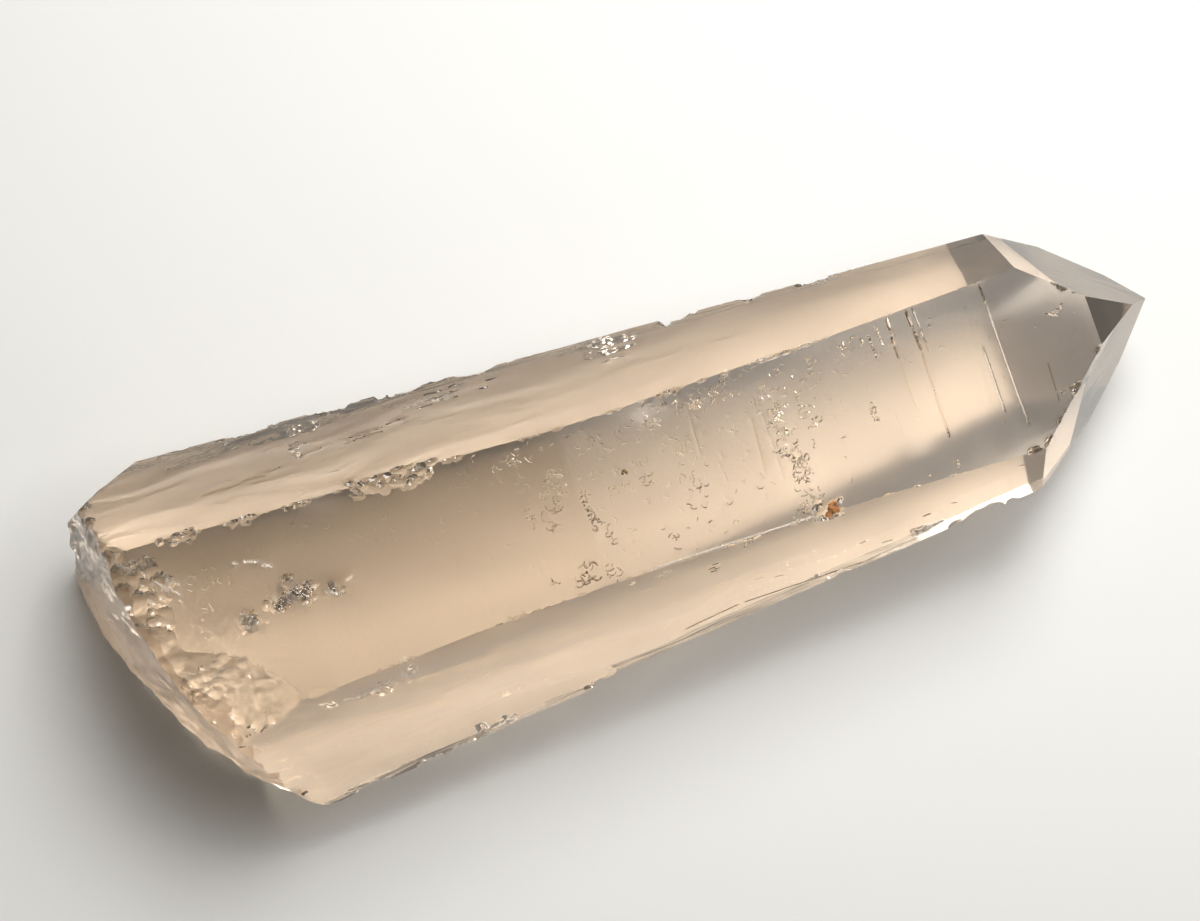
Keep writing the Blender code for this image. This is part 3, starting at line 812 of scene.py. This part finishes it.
def ledge_wedge():
    """What stands above the ledge's plane, from the ledge to past the point."""
    face = FACE["ledge"]
    foot = face.place(LEDGE_AT, 0.0)
    top = foot + face.normal * LEDGE_CUT - face.e1 * LEDGE_CUT / np.tan(radians(LEDGE_SLOPE))
    far = foot + face.e1 * BLOCK
    profile = [foot, top, far + face.normal * LEDGE_CUT, far]
    bm = bmesh.new()
    ends = [[bm.verts.new(corner + face.e2 * side) for corner in profile] for side in LEDGE_SIDES]
    bm.faces.new(ends[0])
    bm.faces.new(ends[1])
    for i in range(len(profile)):
        j = (i + 1) % len(profile)
        bm.faces.new((ends[0][i], ends[0][j], ends[1][j], ends[1][i]))
    bmesh.ops.recalc_face_normals(bm, faces=bm.faces)
    return solid_of(bm, "ledge_wedge")


def flat_faces():
    """The crystal's flat faces, the ledge included, as a bmesh of whole polygons in millimetres."""
    crystal, wedge = ideal_crystal(), ledge_wedge()
    cut = crystal.modifiers.new("ledge", "BOOLEAN")
    cut.operation = "DIFFERENCE"
    cut.solver = "EXACT"
    cut.object = wedge
    bpy.context.view_layer.update()
    evaluated = crystal.evaluated_get(bpy.context.evaluated_depsgraph_get())
    bm = bmesh.new()
    bm.from_mesh(evaluated.to_mesh())
    evaluated.to_mesh_clear()
    for obj in (crystal, wedge):
        bpy.data.objects.remove(obj)
    bmesh.ops.remove_doubles(bm, verts=bm.verts, dist=MERGE_WITHIN)
    bmesh.ops.dissolve_limit(bm, angle_limit=radians(FLAT_WITHIN), verts=bm.verts, edges=bm.edges)
    return bm


def name_of(polygon):
    """Which face a polygon belongs to; the steep step of the ledge is read from the polygon itself."""
    for name, face in FACE.items():
        if face.holds(polygon.calc_center_median(), polygon.normal):
            return name
    FACE["riser"] = Face(polygon.normal.copy(), polygon.normal.dot(polygon.verts[0].co))
    return "riser"


def on_break(start, end):
    """Where the line from start towards end meets the break."""
    x = BREAK_AT
    for _ in range(BREAK_ROUNDS):
        point = start.lerp(end, (x - start.x) / (end.x - start.x))
        x = break_station(point.y, point.z)
    return start.lerp(end, (x - start.x) / (end.x - start.x))


def break_line(face, start, end):
    """Points from start to end where a flat face meets the break, both ends included."""
    count = ceil((end - start).length / BREAK_LINE_STEP) + 1
    guesses = [start.lerp(end, index / (count - 1)) for index in range(1, count - 1)]
    return np.array([start, *(on_break(guess + face.e1 * PAST_BREAK, guess) for guess in guesses), end])


# ---------------- chips, nicks and scars
# Each is a scoop out of the surface: its centre, outward direction, radius, depth of the bite and stretch.
def half_width(radius, bite):
    """Half the width of the hole that a bite this deep of this radius leaves."""
    return (radius ** 2 - (radius - bite) ** 2) ** 0.5


def mostly_small(draw, small, large, power):
    """A size between these two; the higher the power, the rarer the large ones."""
    return small + (large - small) * draw.random() ** power


def edge_place(face_a, face_b, station):
    """The point at this station of the edge between two faces."""
    a, b = FACE[face_a], FACE[face_b]
    return Matrix((a.normal, b.normal, ALONG)).inverted() @ Vector((a.distance, b.distance, station))


def outward_of(face_a, face_b):
    return (FACE[face_a].normal + FACE[face_b].normal).normalized()


def broken_up(centre, outward, radius, bite, stretch, draw):
    """The small bites that break up the floor of a big chip."""
    half = half_width(radius, bite)
    side = outward.cross(ALONG).normalized()
    for _ in range(BITES_IN_CHIP):
        place = centre - outward * BITE_SUNK * bite
        place += ALONG * draw.gauss(0, BITE_SPREAD[0]) * half * stretch
        place += side * draw.gauss(0, BITE_SPREAD[1]) * half
        tilt = (outward + side * draw.gauss(0, BITE_TILT) + ALONG * draw.gauss(0, BITE_TILT)).normalized()
        small = half * draw.uniform(*BITE_SIZES)
        yield place, tilt, small, small * draw.uniform(*BITE_DEPTHS), 1.0


def rim_flakes(draw):
    """Where small flakes have gone from the rim of the break."""
    for name, inset, number, small, large in RIM_FLAKES:
        face = FACE[name]
        for index in range(number):
            across = RIM_REACH[name] * (2.0 * (index + draw.random()) / number - 1.0)
            inner, outer = (face.place(BREAK_AT + side * PAST_BREAK, across) for side in (1.0, -1.0))
            rim = on_break(inner, outer) + face.e1 * (inset + draw.gauss(0, RIM_RAGGED))
            outward = (face.normal - ALONG * draw.uniform(*RIM_LEANS)).normalized()
            radius = mostly_small(draw, small, large, power=1.5)
            yield rim, outward, radius, radius * draw.uniform(*RIM_DEPTHS), 1.0


def edge_chips(draw):
    for face_a, face_b, station, radius, bite, stretch in CHIPS + FINE_CHIPS:
        chip = edge_place(face_a, face_b, station), outward_of(face_a, face_b), radius, bite, stretch
        yield chip
        if radius >= CRUMBLED:
            yield from broken_up(*chip, draw)


def pits(draw):
    """Small bites in patches of the flat faces."""
    for name, station, across, reach_x, reach_y, sunk, number, small, large, share in PITTED:
        face = FACE[name]
        for _ in range(number):
            place = face.place(*patch_spot(draw, station, across, reach_x, reach_y))
            tilt = face.normal + face.e1 * draw.gauss(0, PIT_TILT) + face.e2 * draw.gauss(0, PIT_TILT)
            radius = mostly_small(draw, small, large, power=1.5)
            yield place - face.normal * sunk, tilt.normalized(), radius, share * radius, 1.0


def scar_bites(draw):
    """The bites that roughen part of the big scar, each set on the scar's hollow."""
    centre, outward, radius, bite = SCARS[0]
    outward = Vector(outward).normalized()
    middle = Vector(centre) + outward * (radius - bite)
    station, across, reach_x, reach_y, sunk, number, small, large, share = ROUGH_SCAR
    for _ in range(number):
        x, y = patch_spot(draw, station, across, reach_x, reach_y, SCAR_SPREAD)
        z = middle.z - (radius ** 2 - (x - middle.x) ** 2 - (y - middle.y) ** 2) ** 0.5 - sunk
        tilt = outward + Vector((draw.gauss(0, PIT_TILT), draw.gauss(0, PIT_TILT), 0.0))
        size = mostly_small(draw, small, large, power=2)
        yield Vector((x, y, z)), tilt.normalized(), size, share * size, 1.0


def nicks(draw):
    for face_a, face_b, low, high, number, small, large, share in NICKS:
        for _ in range(number):
            radius = mostly_small(draw, small, large, power=2)
            station = draw.uniform(low, high)
            outward = (outward_of(face_a, face_b) + ALONG * draw.gauss(0, NICK_TILT)).normalized()
            yield edge_place(face_a, face_b, station), outward, radius, share * radius, NICK_STRETCH


def scoops():
    """Every scoop, in the order in which they are cut."""
    draw = random.Random(CRUMB_SEED)
    found = [(Vector(centre), Vector(outward).normalized(), *rest, 1.0) for centre, outward, *rest in SCARS]
    for some in (rim_flakes(draw), edge_chips(draw), pits(draw), scar_bites(draw)):
        found.extend(some)
    found.extend(nicks(random.Random(NICK_SEED)))
    return found


def note_fine_spots(all_scoops, lines):
    """Asks for a finer mesh about every scoop and every small mark."""
    for centre, _, radius, bite, stretch in all_scoops:
        half = half_width(radius, bite)
        if radius > BIG_SCAR:
            fine_spot(centre, BITE_REACH * half, SCAR_SPACING)
            continue
        spacing = max(LEAST_SPACING, min(CHIP_SPACING, BITE_SPACING * half))
        for shift in BITE_SHIFTS:
            away = ALONG * (shift * (stretch - UNSHIFTED) * half)
            fine_spot(centre + away, BITE_REACH * half, spacing)
    for name, line, _, _ in lines:
        if len(line) <= LONGEST_MARK:
            middle = line[len(line) // 2]
            reach = (line[-1] - line[0]).length / 2
            fine_spot(FACE[name].lift(middle)[0], reach, AROUND_MARKS)


def cut_scoop(points, worn, centre, outward, radius, bite, stretch):
    """Moves what lies inside the scoop straight in, on to the scoop's far side."""
    scale = np.array((1.0 / stretch, 1.0, 1.0))
    middle = np.array(centre + outward * (radius - bite))
    near = np.nonzero(np.linalg.norm((points - middle) * scale, axis=1) < radius)[0]
    inwards = -np.array(outward)
    least, greatest = CRUMBLE_SIZES
    size = min(greatest, max(least, CRUMBLE_SHARE * radius))
    a = ((inwards * scale) ** 2).sum()
    for index in near:
        offset = (points[index] - middle) * scale
        b = 2.0 * (offset * inwards * scale).sum()
        c = (offset ** 2).sum() - radius ** 2
        move = (-b + (b * b - 4.0 * a * c) ** 0.5) / (2.0 * a)
        place = Vector(points[index])
        crumble = bowls(place, size) + CRUMBLE_FINER * bowls(place, CRUMBLE_FINER * size)
        move += min(move, CRUMBLE_LIMIT * size) * CRUMBLE_DEPTH * crumble
        points[index] += inwards * max(move, 0.0)
        worn[index] = max(worn[index], min(1.0, move / WORN_DEPTH))


# ---------------- the crystal's mesh
class Skin:
    """The triangles of the crystal's surface, with shared points merged, and the faces each point is on."""

    def __init__(self):
        self.index = {}
        self.points = []
        self.owners = []
        self.depth = []
        self.triangles = []
        self.names = []

    def point(self, position, owner, depth):
        key = tuple(np.round(position, 5))
        if key not in self.index:
            self.index[key] = len(self.points)
            self.points.append(key)
            self.owners.append(set())
            self.depth.append(0.0)
        found = self.index[key]
        self.owners[found].add(owner)
        self.depth[found] = max(self.depth[found], depth)
        return found

    def add(self, name, outline_3d, outline, extra, lift, draw):
        """Triangulates one face: its outline, the points in extra (flat x, y, depth) and a filling."""
        fill = filling(outline, extra[:, :2], lift, draw)
        flat_points = np.concatenate([outline, extra[:, :2], fill])
        depth = np.concatenate([np.zeros(len(outline)), extra[:, 2], np.zeros(len(fill))])
        solid = np.concatenate([outline_3d, lift(flat_points[len(outline):])])
        rim = list(range(len(outline)))
        found = geometry.delaunay_2d_cdt([Vector(point) for point in flat_points], [], [rim], 1, 1e-6, True)
        faces, sources, inside = found[2], found[3], found[5]
        ids = [self.point(solid[i], name, depth[i]) for i in range(len(flat_points))]
        for triangle, held in zip(faces, inside):
            corners = [sources[i][0] for i in triangle]
            a, b, c = (flat_points[i] for i in corners)
            if (b[0] - a[0]) * (c[1] - a[1]) < (b[1] - a[1]) * (c[0] - a[0]):
                corners.reverse()
            corner_ids = [ids[i] for i in corners]
            if held and len(set(corner_ids)) == 3:
                self.triangles.append(corner_ids)
                self.names.append(name)


def crystal_skin(all_scoops):
    draw = np.random.default_rng(FILLING_SEED)
    lines = groove_lines()
    note_fine_spots(all_scoops, lines)
    bm = flat_faces()
    trimmed = {}
    for vert in bm.verts:
        if vert.co.x < FAR_END:
            others = [edge.other_vert(vert) for edge in vert.link_edges]
            trimmed[vert] = next(on_break(other.co, vert.co) for other in others if other.co.x > FAR_END)
    skin = Skin()
    links = {}
    for polygon in bm.faces:
        verts = list(polygon.verts)
        if all(vert.co.x < FAR_END for vert in verts):
            continue
        name = name_of(polygon)
        face = FACE[name]
        pieces = []
        for a, b in zip(verts, verts[1:] + verts[:1]):
            start, end = (trimmed.get(v, v.co) for v in (a, b))
            if a in trimmed and b in trimmed:
                line = break_line(face, start, end)
                links[b] = (a, line[::-1])
            else:
                line = edge_points(start, end)
            pieces.append(line[:-1])
        outline_3d = np.concatenate(pieces)
        outline = np.array([face.flat(Vector(point)) for point in outline_3d])
        skin.add(name, outline_3d, outline, groove_points(name, outline, lines), face.lift, draw)
    bm.free()
    add_break(skin, links, draw)
    return skin


def add_break(skin, links, draw):
    """The fracture at the base, over the outline that the flat faces leave."""
    first = next(iter(links))
    pieces, at = [], first
    while not pieces or at != first:
        at, line = links[at]
        pieces.append(line[:-1])
    outline_3d = np.concatenate(pieces)

    def lift(flat_points):
        flat_points = np.asarray(flat_points, float).reshape(-1, 2)
        return np.array([(break_station(y, z), y, z) for z, y in flat_points]).reshape(-1, 3)

    fine_spot(BREAK_MIDDLE, BREAK_REACH, BREAK_SPACING)
    skin.add("break", outline_3d, outline_3d[:, [2, 1]], np.zeros((0, 3)), lift, draw)
    FINE_SPOTS.pop()


def solve_shift(normals, heights):
    """The shortest move that shifts a point by each height along each normal."""
    if len(normals) == 1:
        return normals[0] * heights[0]
    return np.linalg.lstsq(np.array(normals), np.array(heights), rcond=NEARLY_LEVEL)[0]


def add_relief(skin):
    points = np.array(skin.points)
    for index, owners in enumerate(skin.owners):
        flat = [name for name in owners if name not in ("break", "riser")]
        if flat:
            normals = [np.array(FACE[name].normal) for name in flat]
            heights = [relief(name, points[index]) - skin.depth[index] for name in flat]
            points[index] += solve_shift(normals, heights)
    return points


def lay_down(points):
    """From the crystal's frame in millimetres to the world in metres, kept inside the CAD part's box."""
    turn = np.array(Matrix.Rotation(radians(REST_LEAN), 3, "Y"))
    world = (np.array(points) @ turn.T + np.array(APEX)) * MM
    low, high = (np.array(corner) for corner in cad_box)
    return np.clip(world, low, high)


def new_piece(name, points, triangles, material, sharp):
    """A piece of the model, from points in the crystal's frame; edges sharper than this many degrees show."""
    mesh = bpy.data.meshes.new(name)
    mesh.from_pydata([tuple(point) for point in lay_down(points)], [], [tuple(t) for t in triangles])
    mesh.materials.append(material)
    mesh.shade_smooth()
    mesh.set_sharp_from_angle(angle=radians(sharp))
    obj = add_object(name, mesh)
    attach(obj, "root")
    print(f"{name}: {len(triangles)} triangles")
    return obj


def scratch_white_and_glint(points):
    """How much each point of the flat faces lies on the floor of a scratch, from 0 to 1: where it turns
    whitish, partly crushed quartz and partly a painted glint.
    """
    found = np.zeros(len(points))
    for name, x0, y0, x1, y1, width, _ in SCRATCHES_AND_GLINTS:
        start, end = (np.array(FACE[name].place(*place)) for place in ((x0, y0), (x1, y1)))
        along = end - start
        shares = np.clip((points - start) @ along / (along @ along), 0.0, 1.0)
        away = np.linalg.norm(start + shares[:, None] * along - points, axis=1)
        fade = np.minimum(1.0, SCRATCH_GLINT_FADE * (0.5 - np.abs(shares - 0.5)))
        found = np.maximum(found, (1.0 - away / width) * fade)
    return found


def crystal_piece():
    all_scoops = scoops()
    skin = crystal_skin(all_scoops)
    points = add_relief(skin)
    worn = np.zeros(len(points))
    for scoop in all_scoops:
        cut_scoop(points, worn, *scoop)
    worn = np.maximum(worn, [smooth_step(*GLOSSY_DEPTHS, value) for value in skin.depth])
    dirty = np.array([smooth_step(*DIRT_DEPTHS, value) for value in skin.depth])
    dirty = np.maximum(dirty, [BREAK_DIRT if "break" in owners else 0.0 for owners in skin.owners])
    obj = new_piece("crystal", points, skin.triangles, quartz_material(), CRYSTAL_SHARP)
    values = {
        "satin": np.array([SATIN.get(name, 0.0) for name in skin.names]),
        "worn": worn,
        "dirty": dirty,
        # the scratch mask: whitish crushed floors, which also carry a painted glint
        "scratch_white_and_glint": scratch_white_and_glint(np.array(skin.points)),
    }
    for label, data in values.items():
        attribute = obj.data.attributes.new(label, "FLOAT", "FACE" if label == "satin" else "POINT")
        attribute.data.foreach_set("value", data.astype(np.float32))
    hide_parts("quartz_crystal")


# ---------------- cracks inside
def flake_point(middle, size, stretch, share, spoke, side):
    """A point of a crack's upper (side 1) or lower (-1) skin, this share of the way to its rim."""
    angle = 2 * pi * spoke / CRACK_SPOKES
    at_rim = Vector((cos(angle), sin(angle), CRACK_VARIETY * middle.x))
    ragged = 1.0 + CRACK_RAGGED * noise.noise(at_rim * CRACK_CORNERS)
    flat = Vector((cos(angle) * stretch, sin(angle), 0.0)) * size * share * ragged
    wave = CRACK_WAVES[0] * size * noise.noise((middle + flat) * CRACK_WAVES[1] / size + ALONG * CRACK_SHIFT)
    wave += CRACK_RIPPLES[0] * size * noise.noise((middle + flat) * CRACK_RIPPLES[1] / size)
    flat.z = wave + side * 0.5 * CRACK_WIDTH * (1.0 - share ** 2)
    return flat


def crack_flake(middle, size, tilt, draw):
    """A thin, wavy crack filled with air, about the origin: two skins that face in and share a ragged rim."""
    turn = Matrix.Rotation(draw.uniform(0, 2 * pi), 3, "Z") @ Matrix.Rotation(radians(tilt), 3, "X")
    stretch = draw.uniform(*CRACK_STRETCH)
    points, triangles = [], []

    def ring(share, side):
        spokes = range(CRACK_SPOKES if share else 1)
        points.extend(turn @ flake_point(middle, size, stretch, share, spoke, side) for spoke in spokes)
        return range(len(points) - len(spokes), len(points))

    skins = [[ring(number / CRACK_RINGS, side) for number in range(CRACK_RINGS)] for side in (1.0, -1.0)]
    rim = ring(1.0, 0.0)
    for rings, flip in zip(skins, (True, False)):
        for inner, outer in zip(rings, rings[1:] + [rim]):
            for spoke in range(CRACK_SPOKES):
                after = (spoke + 1) % CRACK_SPOKES
                quad = [inner[spoke % len(inner)], outer[spoke], outer[after], inner[after % len(inner)]]
                corners = [quad[:3]] + ([[quad[0], quad[2], quad[3]]] if len(inner) > 1 else [])
                triangles.extend(corner[::-1] if flip else corner for corner in corners)
    return points, triangles


def cracks_piece():
    draw = random.Random(CRACK_SEED)
    points, triangles = [], []
    for name, station, across, reach_x, reach_y, number, small, large, shallow, deep in CRACKS:
        face = FACE[name]
        for _ in range(number):
            middle = face.place(*patch_spot(draw, station, across, reach_x, reach_y))
            tilt = draw.uniform(*(LEVEL_TILTS if draw.random() < LEVEL_SHARE else STEEP_TILTS))
            flake, sides = crack_flake(middle, draw.uniform(small, large), tilt, draw)
            sink = draw.uniform(shallow, deep) + max(point.z for point in flake)
            first = len(points)
            for point in flake:
                place = middle + face.e1 * point.x + face.e2 * point.y + face.normal * (point.z - sink)
                points.append(place)
            triangles.extend([first + corner for corner in side] for side in sides)
    looks = {"Base Color": CRACK_TINT, "Transmission Weight": 1.0, "IOR": QUARTZ_IOR}
    material, _ = new_material("crack", looks | {"Roughness": CRACK_ROUGHNESS})
    new_piece("cracks", points, triangles, material, CRACK_SHARP)


# ---------------- crumbs of rust and of golden dirt
def crumb_blob(points, triangles, name, station, across, lift, half):
    """A lumpy crumb on a flat face."""
    face = FACE[name]
    middle = face.place(station, across) + face.normal * lift
    bm = bmesh.new()
    bmesh.ops.create_icosphere(bm, subdivisions=3, radius=1.0)
    start = len(points)
    for vert in bm.verts:
        lump = 1.0
        for height, number, shift in LUMPS:
            lump += height * noise.noise(vert.co * number + middle * shift)
        local = vert.co * lump
        place = middle + face.e1 * local.x * half[0] + face.e2 * local.y * half[1]
        points.append(place + face.normal * local.z * half[2])
    triangles.extend([start + vert.index for vert in polygon.verts] for polygon in bm.faces)
    bm.free()


def crumb_pieces():
    for kind, (colour, blobs) in CRUMBS.items():
        points, triangles = [], []
        for blob in blobs:
            crumb_blob(points, triangles, *blob)
        new_piece(kind + "_crumbs", points, triangles, crumb_material(kind, colour), CRUMB_SHARP)


# ---------------- materials
def feed(node, inputs):
    """Sets these inputs of a shader node, or links them to another node's output."""
    for socket, value in inputs.items():
        if isinstance(value, bpy.types.NodeSocket):
            node.id_data.links.new(value, node.inputs[socket])
        else:
            node.inputs[socket].default_value = value


def new_material(name, inputs):
    material = bpy.data.materials.new(name)
    material.use_nodes = True
    shader = material.node_tree.nodes["Principled BSDF"]
    feed(shader, inputs)
    return material, shader


def add_node(shader, kind, output, inputs):
    """Adds a node beside the shader and returns one of its outputs."""
    node = shader.id_data.nodes.new("ShaderNode" + kind)
    feed(node, inputs)
    return node.outputs[output]


def crumb_material(name, colour):
    """An opaque, earthy mineral, mottled lighter and darker."""
    material, shader = new_material(name, {"Roughness": CRUMB_ROUGHNESS})
    place = add_node(shader, "TexCoord", "Object", {})
    mottle = add_node(shader, "TexNoise", "Fac", {"Scale": MOTTLE_SCALE, "Vector": place})
    ramp = add_node(shader, "ValToRGB", "Color", {"Fac": mottle})
    for stop, (position, share) in zip(ramp.node.color_ramp.elements, MOTTLES):
        stop.position = position
        stop.color = [min(1.0, share * c) for c in colour] + [1.0]
    feed(shader, {"Base Color": ramp})
    return material


def quartz_material():
    """Clear, pale brown quartz: satin on the top, whitish in scratches (crushed quartz and a painted glint),
    brown where dirt sits.
    """
    material, shader = new_material("smoky_quartz", {"IOR": QUARTZ_IOR})
    nodes = material.node_tree.nodes

    def attribute(label):
        value = add_node(shader, "Attribute", "Fac", {})
        value.node.attribute_name = label
        return value

    def mapped(value, low, high):
        return add_node(shader, "MapRange", "Result", {"Value": value, "To Min": low, "To Max": high})

    tint = nodes.new("ShaderNodeMix")
    tint.data_type = "RGBA"
    feed(tint, {"Factor": attribute("dirty"), "A": QUARTZ_TINT, "B": DIRT_TINT})
    fresh = add_node(shader, "Math", "Value", {0: attribute("satin"), 1: attribute("worn")})
    fresh.node.operation = "SUBTRACT"
    fresh.node.use_clamp = True
    place = add_node(shader, "TexCoord", "Object", {})
    grain = {"Scale": GRAIN_SCALE, "Detail": GRAIN_DETAIL, "Vector": place}
    height = add_node(shader, "TexNoise", "Fac", grain)
    bump = {"Distance": GRAIN_HEIGHT, "Height": height, "Strength": fresh}
    feed(shader, {
        # Scratch floors let less light through and turn whitish: crushed quartz, and a painted glint of the
        # lamp.
        "Transmission Weight": mapped(attribute("scratch_white_and_glint"), 1.0, 1.0 - SCRATCH_WHITE_AND_GLINT),
        "Base Color": tint.outputs["Result"],
        "Roughness": mapped(fresh, SIDE_ROUGHNESS, SATIN_ROUGHNESS),
        "Normal": add_node(shader, "Bump", "Normal", bump),
    })
    smoke = {"Color": SMOKE_COLOUR, "Density": SMOKE_DENSITY}
    feed(nodes["Material Output"], {"Volume": add_node(shader, "VolumeAbsorption", "Volume", smoke)})
    return material


# ---------------- stage
def add_floor():
    bpy.ops.mesh.primitive_plane_add(size=FLOOR_SIDE, location=(0.0, 0.0, -FLOOR_DROP))
    floor = bpy.context.object
    floor.name = "floor"
    looks = {"Base Color": FLOOR_COLOUR, "Roughness": FLOOR_ROUGHNESS, "Specular IOR Level": FLOOR_SPECULAR}
    material, _ = new_material("floor", looks)
    floor.data.materials.append(material)


def add_camera():
    """The camera at the photograph's viewing angle."""
    data = bpy.data.cameras.new("camera")
    data.lens = CAMERA_LENS
    data.sensor_width = CAMERA_SENSOR
    camera = add_object("camera", data)
    back = CAMERA_BACK.normalized()
    right = (CAMERA_RIGHT - back * CAMERA_RIGHT.dot(back)).normalized()
    turn = Matrix((right, back.cross(right), back)).transposed()
    lie = Matrix.Rotation(radians(REST_LEAN), 3, "Y")
    place = (lie @ turn).to_4x4()
    place.translation = (lie @ CAMERA_AT + APEX) * MM
    camera.matrix_world = place
    bpy.context.scene.camera = camera


def add_lights():
    for name, (place, side, power) in LIGHTS.items():
        data = bpy.data.lights.new(name, "AREA")
        data.shape = "SQUARE"
        data.size = side
        data.energy = power
        light = add_object(name, data)
        light.location = place
        light.rotation_euler = (Vector(place) - LIT_SPOT).to_track_quat("Z", "Y").to_euler()


def set_world():
    world = bpy.data.worlds.new("studio")
    world.use_nodes = True
    feed(world.node_tree.nodes["Background"], {"Color": SKY_COLOUR, "Strength": SKY_STRENGTH})
    scene = bpy.context.scene
    scene.world = world
    scene.view_settings.view_transform = "Standard"
    scene.cycles.max_bounces = BOUNCES
    scene.cycles.transmission_bounces = BOUNCES
    scene.cycles.glossy_bounces = BOUNCES
    scene.cycles.blur_glossy = 0.0


add_camera()
add_floor()
add_lights()
set_world()
crystal_piece()
cracks_piece()
crumb_pieces()
